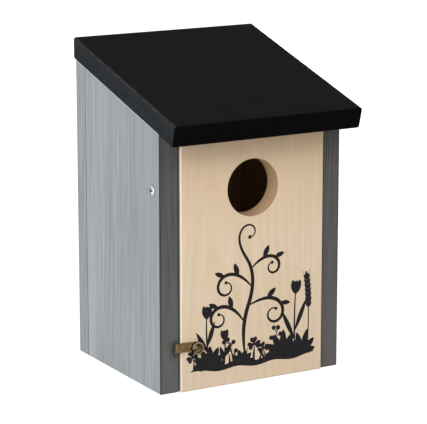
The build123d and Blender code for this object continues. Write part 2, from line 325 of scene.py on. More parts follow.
# %% [markdown]
# ## Starting and finishing a material
# Every material starts alike, with Object coordinates, which lie still on the piece when it moves.
# `board_place` turns them so that the grain runs along Z with the pith where this board was cut
# from, which is what makes one board differ from the next. The materials of the box also end
# alike: their colour, roughness and fine ridges go to the Principled shader.

# %% Material helpers
def new_material(name):
    """A material with its tree and its Object coordinates."""
    material = bpy.data.materials.new(name)
    material.use_nodes = True
    tree = material.node_tree
    return material, tree, add_node(tree, "TexCoord").outputs["Object"]


def set_shader(tree, **values):
    """Links or sets the sockets of the Principled shader."""
    feed(tree, tree.nodes["Principled BSDF"], values)


def complete(material, colour, roughness, ridges, depth, specular=0.5, metallic=0.0):
    """Gives a material its colour, its roughness, and ridges of a depth in metres."""
    tree = material.node_tree
    bump = add_node(tree, "Bump", {"Height": ridges, "Distance": depth}).outputs[0]
    set_shader(tree, Base_Color=colour, Roughness=roughness, Normal=bump)
    set_shader(tree, Specular_IOR_Level=specular, Metallic=metallic)
    print(f"{material.name}: {len(tree.nodes)} nodes")
    return material


def board_place(tree, place, pith, turn=(0, 0, 0)):
    """Coordinates with the grain along Z and the pith at the origin; the turn is in degrees."""
    sockets = {"Vector": place, "Location": pith, "Rotation": [math.radians(a) for a in turn]}
    return add_node(tree, "Mapping", sockets, vector_type="TEXTURE").outputs[0]


def wood(tree, grain, ring_width, wander, fibre, stretch):
    """The rings and the fibres of a board, from coordinates along its grain."""
    rings = use_group(tree, growth_rings, Vector=grain, Ring_Width=ring_width, Wander=wander)["Rings"]
    return rings, use_group(tree, fibres, Vector=grain, Width=fibre, Stretch=stretch)


def rgb(red, green, blue):
    """A colour as the shader wants it, with its fourth number."""
    return (red, green, blue, 1.0)

# %% [markdown]
# ## Masks
# A mask is 1 in a part of space and 0 elsewhere, with a soft border. Masks say where one finish
# ends and the next begins, where dirt lies, where an edge is rubbed, and where shade or a
# highlight is painted.

# %% Mask helpers
far = 1.0  # a place beyond every piece
crisp, firm, soft, blurred = 0.2 * mm, 0.3 * mm, 0.4 * mm, 1.0 * mm


def block(tree, place, low, high, softness=soft):
    """A mask that is 1 inside a block of space."""
    return use_group(tree, inside_block, Vector=place, Low=low, High=high, Softness=softness)["Inside"]


def slab(tree, place, axis, low=-far, high=far, softness=soft):
    """A mask that is 1 between two places along an axis, however far off across it."""
    lows, highs = [-far] * 3, [far] * 3
    lows["xyz".index(axis)] = low
    highs["xyz".index(axis)] = high
    return block(tree, place, lows, highs, softness)


def spot(tree, place, middle, across, inner, outer):
    """A mask that is 1 near an axis through a point and fades out between two radii."""
    return use_group(tree, around_point, Vector=place, Middle=middle, Across=across,
                     Inner=inner, Outer=outer)["Near"]


def rim_of(tree, place, low, high, reach):
    """A mask that is 1 along the edges of a box-shaped piece and fades out within the reach."""
    return use_group(tree, edge_distance, Vector=place, Middle=(low + high) / 2,
                     Half_Size=(high - low) / 2, Reach=reach)["Edge"]


print(f"borders of masks: {crisp / mm:.1f} to {blurred / mm:.1f} mm")

# %% [markdown]
# ## Grey stain
# The side boards and the back are softwood under a thin grey stain. It lets the grain through as
# fine lighter and darker streaks, with a cold bluish cast. A painted shade darkens the grey under
# the front of the roof, and the grey is paler towards the back and the foot. A pale line along the
# top edges under the roof is a painted highlight. Inside the box the boards are bare.
#
# Masks in the roof's own slope need coordinates that lean with it, so its corner, thickness and
# turn are worked out first.

# %% Slope of the roof
roof_slope, roof_thickness = 15.5, 16 * mm
roof_corner = Vector((0, roof_low.y, roof_low.z + roof_thickness * math.cos(math.radians(roof_slope))))
roof_turn = (90 + roof_slope, 0, 0)
print(f"roof: {roof_thickness / mm:.0f} mm thick, {roof_slope} degrees steep")

# %% Bare pine
def bare_wood_colour(tree, rings, fine):
    """Unfinished pine from its rings and fibres."""
    colour = tint(tree, rgb(0.62, 0.44, 0.26), rings, 0.75, rgb(0.45, 0.27, 0.13))
    return tint(tree, colour, fine, 0.10, rgb(0.74, 0.57, 0.38))

# %% [markdown]
# ## Slate front edges
# The front edges of the side boards were stained darker, almost slate. Towards the foot they are
# paler, with painted light, and they are darkest at their outer corners and where a painted shadow
# lies beside the lip of the turn button.

# %% Slate
slate_corner, slate_skin, slate_depth = 1.1 * mm, 0.9 * mm, 5 * mm
slate_foot_light = (150 * mm, 10 * mm)  # where it begins and where it is complete


def lip_shadow(tree, place):
    """A painted shadow beside the lip of the turn button, darkest close to it and fading round it."""
    lip_foot = (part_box("latch_bar")[0].x + 3 * mm, 0, button_pivot.z)
    lip_contact_shadow = spot(tree, place, lip_foot, (1, 0, 0.42), 0.8 * mm, 4 * mm)
    painted_shade = spot(tree, place, lip_foot, (1, 0, 0.80), 1 * mm, 8.5 * mm)
    return maths(tree, "MAXIMUM", lip_contact_shadow, maths(tree, "MULTIPLY", painted_shade, 0.35))


def slate_colour(tree, place, rings, streaks):
    """The dark stain, from the rings and fibres of its board."""
    slate = mix_colours(tree, streaks["Medium"], rgb(0.068, 0.068, 0.068), rgb(0.093, 0.093, 0.092))
    slate = tint(tree, slate, rings, 0.35, rgb(0.150, 0.149, 0.148))
    # Painted light: the slate is paler towards the foot.
    foot_light = remap(tree, split(tree, place)[2], *slate_foot_light)
    slate = tint(tree, slate, foot_light, 0.45, rgb(0.158, 0.157, 0.154))
    corner = side_low.x + slate_corner
    outer = maths(tree, "SUBTRACT", 1.0, slab(tree, place, "x", corner, -corner, blurred))
    slate = tint(tree, slate, outer, 0.75, rgb(0.022, 0.022, 0.023))
    # Painted shadow beside the lip of the turn button.
    return tint(tree, slate, lip_shadow(tree, place), 0.80, rgb(0.022, 0.021, 0.020))

# %% [markdown]
# ## The stained boards
# The three kinds of finish are mixed by blocks of space: bare inside, dark at the front edges and
# grey everywhere else.

# %% Grey stained boards
rim_reach, top_highlight_height = 1.6 * mm, 1.8 * mm
bare_margin, seam_half_width = 0.3 * mm, 0.4 * mm
pivot_head_rim = (3.4 * mm, 4.6 * mm)
# Each pair says where a change begins and where it is complete.
roof_shade_forward, roof_shade_upward = (12 * mm, -30 * mm), (20 * mm, 140 * mm)
paler_backward, paler_downward = (26 * mm, 44 * mm), (200 * mm, 20 * mm)


def grey_board(name, pith, turn, stain, box, dark_front):
    """A grey stained board; it is bare where it faces the inside of the nest box."""
    material, tree, place = new_material(name)
    grain = board_place(tree, place, pith, turn)
    rings, streaks = wood(tree, grain, ring_width=2.1 * mm, wander=6 * mm, fibre=0.5 * mm, stretch=75)
    cloud = remap(tree, noise(tree, place, 14.0, 3.0), 0.35, 0.65)
    colour = mix_colours(tree, streaks["Broad"], *stain)
    colour = tint(tree, colour, streaks["Medium"], 0.55, rgb(0.52, 0.555, 0.580))
    colour = tint(tree, colour, streaks["Fine"], 0.32, rgb(0.25, 0.275, 0.295))
    colour = tint(tree, colour, rings, 0.09, rgb(0.21, 0.23, 0.25))
    colour = tint(tree, colour, cloud, 0.12, rgb(0.30, 0.32, 0.33))
    back, up = split(tree, place)[1:]
    # Painted shade: the grey is darkened under the front of the roof.
    roof_shade = maths(tree, "MULTIPLY", remap(tree, back, *roof_shade_forward), remap(tree, up, *roof_shade_upward))
    colour = tint(tree, colour, roof_shade, 0.27, rgb(0.22, 0.24, 0.26))
    # The grey is paler towards the back and the foot.
    paler = maths(tree, "MULTIPLY", remap(tree, back, *paler_backward), remap(tree, up, *paler_downward))
    colour = tint(tree, colour, paler, 0.48 if dark_front else 0.12, rgb(0.51, 0.56, 0.60))
    patchy = remap(tree, noise(tree, grain, 90.0, 3.0), 0.35, 0.70, 0.10, 0.34)
    colour = tint(tree, colour, rim_of(tree, place, *box, rim_reach), patchy, rgb(0.46, 0.47, 0.46))
    # Painted highlight: a pale line along the top edges under the roof.
    slope = board_place(tree, place, roof_corner, roof_turn)
    top_edge_highlight = slab(tree, slope, "y", low=-roof_thickness - top_highlight_height, softness=firm)
    colour = tint(tree, colour, top_edge_highlight, 0.55, rgb(0.60, 0.63, 0.65))
    seam = slab(tree, place, "y", back_low.y - seam_half_width, back_low.y + seam_half_width)
    colour = tint(tree, colour, seam, 0.85, rgb(0.050, 0.056, 0.062))
    # Painted shade: a dark ring round the heads of the pivot screws.
    screw_shade = spot(tree, place, pivot, (0, 1, 1), *pivot_head_rim)
    colour = tint(tree, colour, screw_shade, 0.55, rgb(0.07, 0.07, 0.07))
    wall = inner_half_width + bare_margin
    stain_end = side_low.y + slate_depth if dark_front else door_face
    if dark_front:
        front = slab(tree, place, "y", high=side_low.y + slate_skin, softness=crisp)
        inner = block(tree, place, (-wall, -far, -far), (wall, stain_end, far))
        slate = slate_colour(tree, place, rings, streaks)
        colour = mix_colours(tree, maths(tree, "MAXIMUM", front, inner), colour, slate)
    bare = block(tree, place, (-wall, stain_end, -far), (wall, back_low.y + bare_margin, far))
    colour = mix_colours(tree, bare, colour, bare_wood_colour(tree, rings, streaks["Fine"]))
    roughness = remap(tree, streaks["Fine"], 0.0, 1.0, 0.62, 0.78, smooth=False)
    ridges = maths(tree, "SUBTRACT", streaks["Fine"], maths(tree, "MULTIPLY", rings, 0.8))
    return complete(material, colour, roughness, ridges, 0.06 * mm, specular=0.25)


# Each stain is mixed from its darker and its lighter streaks.
light_stain = rgb(0.293, 0.333, 0.364), rgb(0.354, 0.396, 0.430)
blue_stain = rgb(0.214, 0.270, 0.322), rgb(0.266, 0.332, 0.390)
grey_boards = {
    "left_side": grey_board("grey stain left", (-40 * mm, 30 * mm, 0), (1.2, 0.8, 0),
                            light_stain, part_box("left_side"), True),
    "right_side": grey_board("grey stain right", (110 * mm, -20 * mm, 0), (-0.9, 1.4, 0),
                             light_stain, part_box("right_side"), True),
    "back_board": grey_board("grey stain back", (18 * mm, 120 * mm, 0), (2.0, -1.1, 0),
                             blue_stain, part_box("back_board"), False),
}

# %% [markdown]
# ## Bare floor
# The floor is the same pine with nothing on it. Its grain runs from side to side, so the
# coordinates are turned until that is Z.

# %% Bare floor
def bare_board(name, pith, turn):
    """A planed board with no finish."""
    material, tree, place = new_material(name)
    grain = board_place(tree, place, pith, turn)
    rings, streaks = wood(tree, grain, ring_width=2.6 * mm, wander=7 * mm, fibre=0.6 * mm, stretch=70)
    colour = bare_wood_colour(tree, rings, streaks["Fine"])
    roughness = remap(tree, streaks["Fine"], 0, 1, 0.6, 0.75)
    ridges = maths(tree, "SUBTRACT", streaks["Fine"], maths(tree, "MULTIPLY", rings, 0.8))
    return complete(material, colour, roughness, ridges, 0.05 * mm, specular=0.3)


floor_wood = bare_board("bare pine", (0, 20 * mm, -30 * mm), (0, 90, 0))

# %% [markdown]
# ## Black roof paint
# The roof is an opaque matte black. Only a little of the grain stands up through it, as low ridges
# along the slope. The long sides of the board are a greyer black, and the sawn end at the front
# is the blackest face. A broken pale line along the edges is a painted highlight, and the foot of
# each long side is darkened with painted shade.

# %% Roof paint
roof_length = roof_high.y - roof_low.y - roof_thickness * math.sin(math.radians(roof_slope))
roof_length /= math.cos(math.radians(roof_slope))
roof_end = Vector((-roof_high.x, -roof_thickness, -roof_length))
flank_skin, top_highlight_band, low_shade_band, end_skin = 1.2 * mm, 2 * mm, 1.2 * mm, 0.8 * mm

material, tree, place = new_material("black roof paint")
grain = board_place(tree, place, (10 * mm, 0, 160 * mm), roof_turn)
board = board_place(tree, place, roof_corner, roof_turn)
rings, streaks = wood(tree, grain, ring_width=3 * mm, wander=8 * mm, fibre=1 * mm, stretch=60)
cloud = remap(tree, noise(tree, place, 26.0, 4.0), 0.35, 0.7)
mottle = remap(tree, noise(tree, place, 190.0, 3.0), 0.35, 0.65)
colour = mix_colours(tree, streaks["Medium"], rgb(0.0062, 0.0062, 0.0064), rgb(0.0067, 0.0067, 0.0069))
colour = tint(tree, colour, cloud, 0.45, rgb(0.0098, 0.0096, 0.0094))
# Painted highlight: a broken pale line along the edges of the board.
edge_highlight = rim_of(tree, board, roof_end, Vector((roof_high.x, 0, 0)), rim_reach)
colour = tint(tree, colour, maths(tree, "MULTIPLY", edge_highlight, mottle), 0.50, rgb(0.024, 0.024, 0.025))
between = slab(tree, place, "x", roof_low.x + flank_skin, roof_high.x - flank_skin, flank_skin)
flank = mix_colours(tree, streaks["Fine"], rgb(0.021, 0.024, 0.028), rgb(0.033, 0.037, 0.042))
flank = tint(tree, flank, mottle, 0.50, rgb(0.016, 0.018, 0.021))
# Painted highlight along the top of each long side.
flank_top_highlight = slab(tree, board, "y", low=-top_highlight_band, softness=1.6 * mm)
flank = tint(tree, flank, maths(tree, "MULTIPLY", flank_top_highlight, mottle), 0.80, rgb(0.060, 0.057, 0.055))
# Painted shade along the foot of each long side.
flank_low_shade = slab(tree, board, "y", high=low_shade_band - roof_thickness, softness=0.8 * mm)
flank = tint(tree, flank, flank_low_shade, 0.80, rgb(0.006, 0.006, 0.007))
colour = mix_colours(tree, between, flank, colour)
sawn_end = slab(tree, board, "z", low=-end_skin, softness=blurred)
colour = mix_colours(tree, sawn_end, colour, rgb(0.0026, 0.0026, 0.0027))
roughness = remap(tree, streaks["Fine"], 0, 1, 0.57, 0.62)
ridges = maths(tree, "SUBTRACT", streaks["Fine"], maths(tree, "MULTIPLY", rings, 1.2))
roof_paint = complete(material, colour, roughness, ridges, 0.008 * mm, specular=0.01)

# %% [markdown]
# ## The door's pale wood
# The door is a light, even wood under a clear matte varnish. Seen close it has straight, faint
# lines to the right and wider arches to the left, because the board was cut beside the pith. So
# the pith is put behind the board and leaned a little: the rings then meet the face at a low
# angle and draw the arches by themselves. The sides and the edges of the face carry a painted
# highlight, and a painted shade lies where the gap to the side boards begins, lighter deeper in.
# The bored wall of the entrance and the end grain at the foot are unvarnished and browner. Under
# the roof a warm painted shade darkens the face, and a little painted shade lies towards the foot.

# %% Door wood
door_pith, door_turn = (-22 * mm, 12 * mm, 0), (-2.6, 1.1, 0)
door_fibre, door_stretch = 0.55 * mm, 90.0
side_skin, door_highlight_reach = 0.3 * mm, 0.6 * mm
roof_shade_rise, foot_shade = (100 * mm, 168 * mm), (35 * mm, 12 * mm)
gap_mouth = side_low.y
bore_inner, bore_outer = entrance_radius + 0.05 * mm, entrance_radius + 0.3 * mm

material, tree, place = new_material("pale door wood")
grain = board_place(tree, place, door_pith, door_turn)
rings, streaks = wood(tree, grain, 2.9 * mm, 11 * mm, door_fibre, door_stretch)
cloud = remap(tree, noise(tree, place, 17.0, 3.0), 0.35, 0.65)
back, up = split(tree, place)[1:]
colour = mix_colours(tree, streaks["Broad"], rgb(0.760, 0.618, 0.462), rgb(0.795, 0.658, 0.503))
colour = tint(tree, colour, rings, 0.31, rgb(0.640, 0.450, 0.265))
colour = tint(tree, colour, streaks["Medium"], 0.09, rgb(0.700, 0.540, 0.370))
colour = tint(tree, colour, streaks["Fine"], 0.14, rgb(0.860, 0.740, 0.580))
colour = tint(tree, colour, cloud, 0.18, rgb(0.74, 0.575, 0.395))
# Painted shade: a warm darkening of the face under the roof.
colour = tint(tree, colour, remap(tree, up, *roof_shade_rise), 0.46, rgb(0.640, 0.445, 0.260))
# Painted shade: a little darker towards the foot.
colour = tint(tree, colour, remap(tree, up, *foot_shade), 0.10, rgb(0.55, 0.43, 0.31))
# Painted highlight along the edges of the face.
edge_highlight = rim_of(tree, place, door_low, door_high, door_highlight_reach)
colour = tint(tree, colour, edge_highlight, 0.30, rgb(0.90, 0.83, 0.72))
face = slab(tree, place, "x", door_low.x + side_skin, door_high.x - side_skin, firm)
# Painted shade where the gap to the side boards begins, turning lighter deeper in.
gap_shade = slab(tree, place, "y", low=gap_mouth - 0.8 * mm, softness=firm)
gap_shade = maths(tree, "MULTIPLY", gap_shade, remap(tree, back, gap_mouth + 5.5 * mm, gap_mouth + 1.5 * mm))
inwards = remap(tree, back, gap_mouth - 0.2 * mm, gap_mouth + 0.6 * mm)
painted_shade = mix_colours(tree, inwards, rgb(0.035, 0.024, 0.014), rgb(0.260, 0.250, 0.235))
# Painted highlight: the sides are paler than the face.
highlit_sides = tint(tree, rgb(0.93, 0.87, 0.77), gap_shade, 0.9, painted_shade)
colour = mix_colours(tree, face, highlit_sides, colour)
bore = spot(tree, place, entrance_place, (1, 0, 1), bore_inner, bore_outer)
foot = slab(tree, place, "z", high=door_low.z + side_skin, softness=crisp)
raw = maths(tree, "MAXIMUM", bore, foot)
raw_wood = tint(tree, rgb(0.55, 0.375, 0.225), rings, 0.4, rgb(0.36, 0.22, 0.12))
colour = mix_colours(tree, raw, colour, raw_wood)
varnished = remap(tree, streaks["Fine"], 0, 1, 0.48, 0.60)
roughness = maths(tree, "MAXIMUM", varnished, maths(tree, "MULTIPLY", raw, 0.9))
ridges = maths(tree, "SUBTRACT", maths(tree, "MULTIPLY", streaks["Fine"], 0.6), rings)
door_wood = complete(material, colour, roughness, ridges, 0.03 * mm, specular=0.3)

# %% [markdown]
# ## Zinc
# The pivot screws and the back screws are zinc plated: bright and a little cloudy, with a fine
# grain in the gloss, and with painted shade in the recess for the driver.

# %% Zinc
recess_arm, recess_half_width, head_flat_depth = 2.3 * mm, 0.6 * mm, 0.3 * mm


def zinc(name, recess):
    """Bright zinc plate with a soft cloud in its gloss; the recess takes the tree and coordinates."""
    material, tree, place = new_material(name)
    cloud = noise(tree, place, 900.0, 3.0)
    pale = remap(tree, cloud, 0.35, 0.65)
    colour = mix_colours(tree, pale, rgb(0.50, 0.51, 0.53), rgb(0.66, 0.67, 0.68))
    # Painted shade: the recess for the driver is darkened.
    colour = tint(tree, colour, recess(tree, place), 0.9, rgb(0.030, 0.029, 0.028))
    roughness = remap(tree, cloud, 0.3, 0.7, 0.22, 0.38)
    grit = noise(tree, place, 2600.0, 2.0)
    return complete(material, colour, roughness, grit, 0.01 * mm, metallic=1.0)


def pivot_recess(tree, place):
    """The cross recess of the pivot screws: two arms about their common axis."""
    arms = []
    for y, z in ((recess_arm, recess_half_width), (recess_half_width, recess_arm)):
        low, high = (-far, pivot.y - y, pivot.z - z), (far, pivot.y + y, pivot.z + z)
        arms.append(block(tree, place, low, high, firm))
    return maths(tree, "MAXIMUM", *arms)


def back_recess(tree, place):
    """The recesses of the back screws: all that lies deeper than the flats of their heads."""
    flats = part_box("back_screws")[1].y
    return slab(tree, place, "y", high=flats - head_flat_depth, softness=crisp)


pivot_zinc = zinc("zinc pivot screws", pivot_recess)
bright_zinc = zinc("zinc back screws", back_recess)

# %% [markdown]
# ## Bronze
# The turn button is steel with an antique bronze plate, dark brown in the flats, black with painted
# shade in its corners and its screw's slot, and pale where fingers rub it and where highlights are
# painted. Each of these places is a mask, so the same recipe serves the button and its screw.

# %% Bronze
def bronze(name, dark_mask, pale_mask):
    """Antique bronze plate; the masks take the tree and coordinates: painted shade, and rubbing with
    painted highlights.
    """
    material, tree, place = new_material(name)
    cloud = remap(tree, noise(tree, place, 420.0, 4.0), 0.32, 0.68)
    grit = remap(tree, noise(tree, place, 900.0, 3.0), 0.3, 0.7, 0.15, 0.85)
    colour = mix_colours(tree, cloud, rgb(0.092, 0.053, 0.021), rgb(0.182, 0.115, 0.052))
    # Pale where fingers rub, and painted highlights.
    colour = tint(tree, colour, pale_mask(tree, place), grit, rgb(0.250, 0.222, 0.170))
    # Painted shade in the corners, the dish and the slot.
    colour = tint(tree, colour, dark_mask(tree, place), 0.93, rgb(0.010, 0.007, 0.004))
    roughness = remap(tree, cloud, 0, 1, 0.34, 0.50)
    scratches = use_group(tree, fibres, Vector=place, Width=0.12 * mm, Stretch=14.0)["Fine"]
    return complete(material, colour, roughness, scratches, 0.012 * mm, metallic=0.9)

# %% The turn button
strip_depth, eye_depth, lip_width = 0.9 * mm, 1.5 * mm, 1.8 * mm
# Patches on the button: right and up from its pivot, inner and outer radius, in millimetres.
foot_ring, eye_disc, dish_disc = (0, 0, 4.9, 6.2), (0, 0, 4.9, 5.0), (0, 0, 3.42, 3.52)
shaded_rim = (-4.0, -1.4, 0.6, 1.9)


def patch_at(tree, place, patch):
    """A round patch on the button or its screw, placed from the button's pivot."""
    right, up, inner, outer = (number * mm for number in patch)
    return spot(tree, place, button_pivot + Vector((right, 0, up)), (1, 0, 1), inner, outer)


def button_shade(tree, place):
    """Painted shade round the foot of the raised eye, in its dish, and on the lower left of its rim."""
    strip = slab(tree, place, "y", low=button_pivot.y - strip_depth, softness=crisp)
    foot = maths(tree, "MULTIPLY", strip, patch_at(tree, place, foot_ring))
    dish = maths(tree, "MAXIMUM", foot, patch_at(tree, place, dish_disc))
    return maths(tree, "MAXIMUM", dish, patch_at(tree, place, shaded_rim))


def button_wear_and_highlight(tree, place):
    """The rim of the eye and the finger lip, kept bright by fingers and with a painted highlight on
    them.
    """
    eye_front = slab(tree, place, "y", high=button_pivot.y - eye_depth, softness=crisp)
    eye = maths(tree, "MULTIPLY", eye_front, patch_at(tree, place, eye_disc))
    lip_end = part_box("latch_bar")[0].x + lip_width
    return maths(tree, "MAXIMUM", eye, slab(tree, place, "x", high=lip_end, softness=0.5 * mm))


button_bronze = bronze("bronze turn button", button_shade, button_wear_and_highlight)

# %% The button's screw
slot_half_width, slot_turn = 0.4 * mm, -20
under_rim, crown_disc, crown_glint = (0, 2.4, 1.0, 1.9), (0, 0, 0.5, 3.4), (-2.6, 0.9, 0.4, 1.4)


def slot_shade(tree, place):
    """Painted shade in the slot of the screw, and at the top of its head, under the rim of the dish."""
    across = board_place(tree, place, button_pivot, (0, slot_turn, 0))
    slot = slab(tree, across, "z", -slot_half_width, slot_half_width, 0.1 * mm)
    return maths(tree, "MAXIMUM", slot, patch_at(tree, place, under_rim))


def crown_rub_and_glint(tree, place):
    """The screw's crown, rubbed a little in the middle, with a painted highlight at its left."""
    middle = maths(tree, "MULTIPLY", patch_at(tree, place, crown_disc), 0.35)
    return maths(tree, "MAXIMUM", middle, patch_at(tree, place, crown_glint))


screw_bronze = bronze("bronze screw", slot_shade, crown_rub_and_glint)

# %% [markdown]
# ## Give each CAD piece its material
# A CAD piece keeps its mesh. Only the material in its slot is changed. The dowels are bare wood
# like the floor.

# %% Assign the materials
dowel_beech = bare_board("bare beech", (3 * mm, 2 * mm, 1 * mm), (0, 0, 0))
finishes = {
    **grey_boards,
    "floor_board": floor_wood,
    "roof_board": roof_paint,
    "front_door": door_wood,
    "hinge_screws": pivot_zinc,
    "back_screws": bright_zinc,
    "latch_bar": button_bronze,
    "latch_screw": screw_bronze,
    "roof_dowels": dowel_beech,
    "floor_dowels": dowel_beech,
}
for name, material in finishes.items():
    piece = frame["nodes"][name]
    if not piece.data.materials:
        piece.data.materials.append(material)
    for number in range(len(piece.data.materials)):
        piece.data.materials[number] = material
print(f"{len(finishes)} pieces have their finish")

# %% [markdown]
# ## The printed ornament
# The door carries an ornament in charcoal ink: a climbing vine with scrolls above a border of
# meadow flowers. Such doors are screen printed, which leaves a film of ink with crisp edges.
#
# It is drawn as with a pen, in millimetres on a sheet that lies flat: first across from the middle
# of the door, then up from the base of the box. Most lines are curls, which start straight.

# %% Curling lines
def step_along(place, heading, distance):
    """The place reached from another by going a distance along a heading in degrees."""
    angle = math.radians(heading)
    return Vector((place[0] + distance * math.cos(angle), place[1] + distance * math.sin(angle)))


def curl(start, heading, length, winding, ease=2.2, steps=36):
    """A line that starts straight and winds up towards its end, as (place, heading) pairs."""
    line = [(Vector(start), heading)]
    for i in range(1, steps + 1):
        turned = heading + winding * (i / steps) ** ease
        line.append((step_along(line[-1][0], turned, length / steps), turned))
    return line

# %% [markdown]
# ## A sheet of ink
# Strokes are curves that swell and thin. Leaves, petals and berries are round discs drawn out to
# shape. At the end the sheet is stood up against the door. The ink lies about a tenth of a
# millimetre proud, and no two patches are equally high, so where they overlap no two faces lie in
# one plane.

# %% Sheet of ink
stroke_root, stroke_top = -0.05 * mm, 0.10 * mm
patch_root, patch_top, patch_step = -0.10 * mm, 0.06 * mm, 0.0005 * mm
disc_corners = 22


class Sheet:
    """A flat sheet that collects ink: strokes as splines of one curve, patches in one bmesh."""

    def __init__(self, name):
        self.name = name
        self.curve = bpy.data.curves.new(name + "_strokes", "CURVE")
        self.curve.dimensions = "3D"
        self.curve.bevel_depth = mm
        self.curve.bevel_resolution = 0
        self.curve.use_fill_caps = True
        self.patches = bmesh.new()
        self.layers = 0

    def stroke(self, places, widths):
        """A pen stroke through places, with its width in millimetres at each."""
        spline = self.curve.splines.new("POLY")
        spline.points.add(len(places) - 1)
        for point, place, width in zip(spline.points, places, widths):
            point.co = (place[0] * mm, place[1] * mm, 0, 1)
            point.radius = width / 2

    def pen(self, line, thin, thick, swell=0.35):
        """Inks a line with a pen that swells to thick at a share of the way."""
        widths = []
        for i in range(len(line)):
            share = i / (len(line) - 1)
            rise = share / swell if share < swell else (1 - share) / (1 - swell)
            widths.append(thin + (thick - thin) * math.sin(rise * math.pi / 2))
        self.stroke([place for place, heading in line], widths)

    def patch(self, middle, heading, length, width, point):
        """A disc drawn out to a leaf, petal or berry: point 0 is an oval, 1 has sharp ends."""
        circle = {"cap_ends": True, "segments": disc_corners, "radius": 0.5}
        disc = bmesh.ops.create_circle(self.patches, **circle)["verts"]
        for vertex in disc:
            share = min(1.0, abs(2 * vertex.co.y))
            vertex.co.y *= share**point
        self.layers += 1
        turn = Matrix.Rotation(math.radians(heading), 4, "Z")
        size = Matrix.Diagonal((length * mm, width * mm, 1, 1))
        place = Matrix.Translation((middle[0] * mm, middle[1] * mm, patch_root))
        bmesh.ops.transform(self.patches, matrix=place @ turn @ size, verts=disc)
        face = disc[0].link_faces[0]
        raised = bmesh.ops.extrude_face_region(self.patches, geom=[face])["geom"]
        raised = [part for part in raised if isinstance(part, bmesh.types.BMVert)]
        height = patch_top - patch_root + patch_step * self.layers
        bmesh.ops.translate(self.patches, vec=(0, 0, height), verts=raised)

    def leaf(self, base, heading, length, width, point=0.8):
        """A leaf that grows from its base along a heading."""
        self.patch(step_along(base, heading, length / 2), heading, length, width, point)

    def dot(self, place, size):
        """A berry, or the ball that ends a scroll."""
        self.patch(place, 0, size, size, 0)

    def stand_up(self, material):
        """Turns the inked sheet into one mesh on the face of the door, and lets it ride there."""
        lines = add_object(self.curve.name, self.curve)
        bpy.context.view_layer.update()
        strokes = bpy.data.meshes.new_from_object(lines)
        bpy.data.objects.remove(lines)
        ink = bmesh.new()
        ink.from_mesh(strokes)
        for vertex in ink.verts:
            vertex.co.z = max(stroke_root, min(stroke_top, vertex.co.z))
        patches = bpy.data.meshes.new(self.name + "_patches")
        self.patches.to_mesh(patches)
        ink.from_mesh(patches)
        upright = Matrix.Translation((0, door_face, 0)) @ Matrix.Rotation(math.pi / 2, 4, "X")
        bmesh.ops.transform(ink, matrix=upright, verts=ink.verts)
        bmesh.ops.recalc_face_normals(ink, faces=ink.faces)
        mesh = bpy.data.meshes.new(self.name)
        ink.to_mesh(mesh)
        ink.free()
        self.patches.free()
        mesh.materials.append(material)
        piece = add_object(self.name, mesh)
        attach(piece, "door")
        print(f"{self.name}: {len(mesh.polygons)} faces")

# %% [markdown]
# ## Ink
# The ink is a matte charcoal. It is so thin that the fibres of the wood still show through it as
# fine ridges, and a little of the wood's colour comes through where the screen left less.

# %% Ink
material, tree, place = new_material("charcoal ink")
grain = board_place(tree, place, door_pith, door_turn)
streaks = use_group(tree, fibres, Vector=grain, Width=door_fibre, Stretch=door_stretch)
cloud = remap(tree, noise(tree, place, 300.0, 4.0), 0.4, 0.7)
colour = mix_colours(tree, streaks["Fine"], rgb(0.0075, 0.0072, 0.0095), rgb(0.0110, 0.0108, 0.0130))
colour = tint(tree, colour, cloud, 0.25, rgb(0.018, 0.016, 0.016))
roughness = remap(tree, streaks["Fine"], 0, 1, 0.55, 0.72)
charcoal_ink = complete(material, colour, roughness, streaks["Fine"], 0.03 * mm, specular=0.12)

# %% [markdown]
# ## The vine
# One stem climbs in an S from the border and ends in a scroll under the entrance. Tendrils leave
# it to both sides in turn, each with two leaves on its outer side, and the top one is the shortest.
# Each is the same kind of line: straight at first, then winding ever tighter, like a young shoot.

# %% Draw the vine
vine = Sheet("print_vine")


def tendril(start, heading, length, winding, thick):
    """A scroll that ends in a ball, with two leaves on the side it bends away from."""
    line = curl(start, heading, length, winding)
    vine.pen(line, 0.85, thick)
    vine.dot(line[-1][0], 2.5)
    outer = -1 if winding > 0 else 1
    for share, size in ((0.26, 10.0), (0.46, 8.5)):
        place, along = line[int(share * (len(line) - 1))]
        vine.leaf(place, along + outer * 42, size, size * 0.42)


stem = curl((-6, 18), 100, 40, -30, 1.4)
stem += curl(stem[-1][0], stem[-1][1], 36, 52, 1.5)[1:]
stem += curl(stem[-1][0], stem[-1][1], 46, -300, 2.4)[1:]
vine.pen(stem, 0.9, 3.2, 0.25)
vine.dot(stem[-1][0], 2.9)

tendrils = (
    # share of the stem, side, angle from the stem, length, winding, thickness
    (0.24, -1, 44, 62, 405, 2.8),
    (0.335, 1, 50, 66, -400, 2.8),
    (0.47, -1, 50, 62, 400, 2.6),
    (0.60, 1, 66, 50, -385, 2.5),
)
for share, side, angle, length, winding, thick in tendrils:
    place, heading = stem[int(share * (len(stem) - 1))]
    tendril(place, heading - side * angle, length, winding, thick)
vine.stand_up(charcoal_ink)

# %% [markdown]
# ## The meadow border
# A strip of turf joins tufts of leaves, tulips, wheat, clover, berries and grass. Each plant is a
# small function, so that it can be planted again at another place and size.

# %% Tufts and tulips
meadow = Sheet("print_meadow")
fan_start, fan_sweep = 168, 156


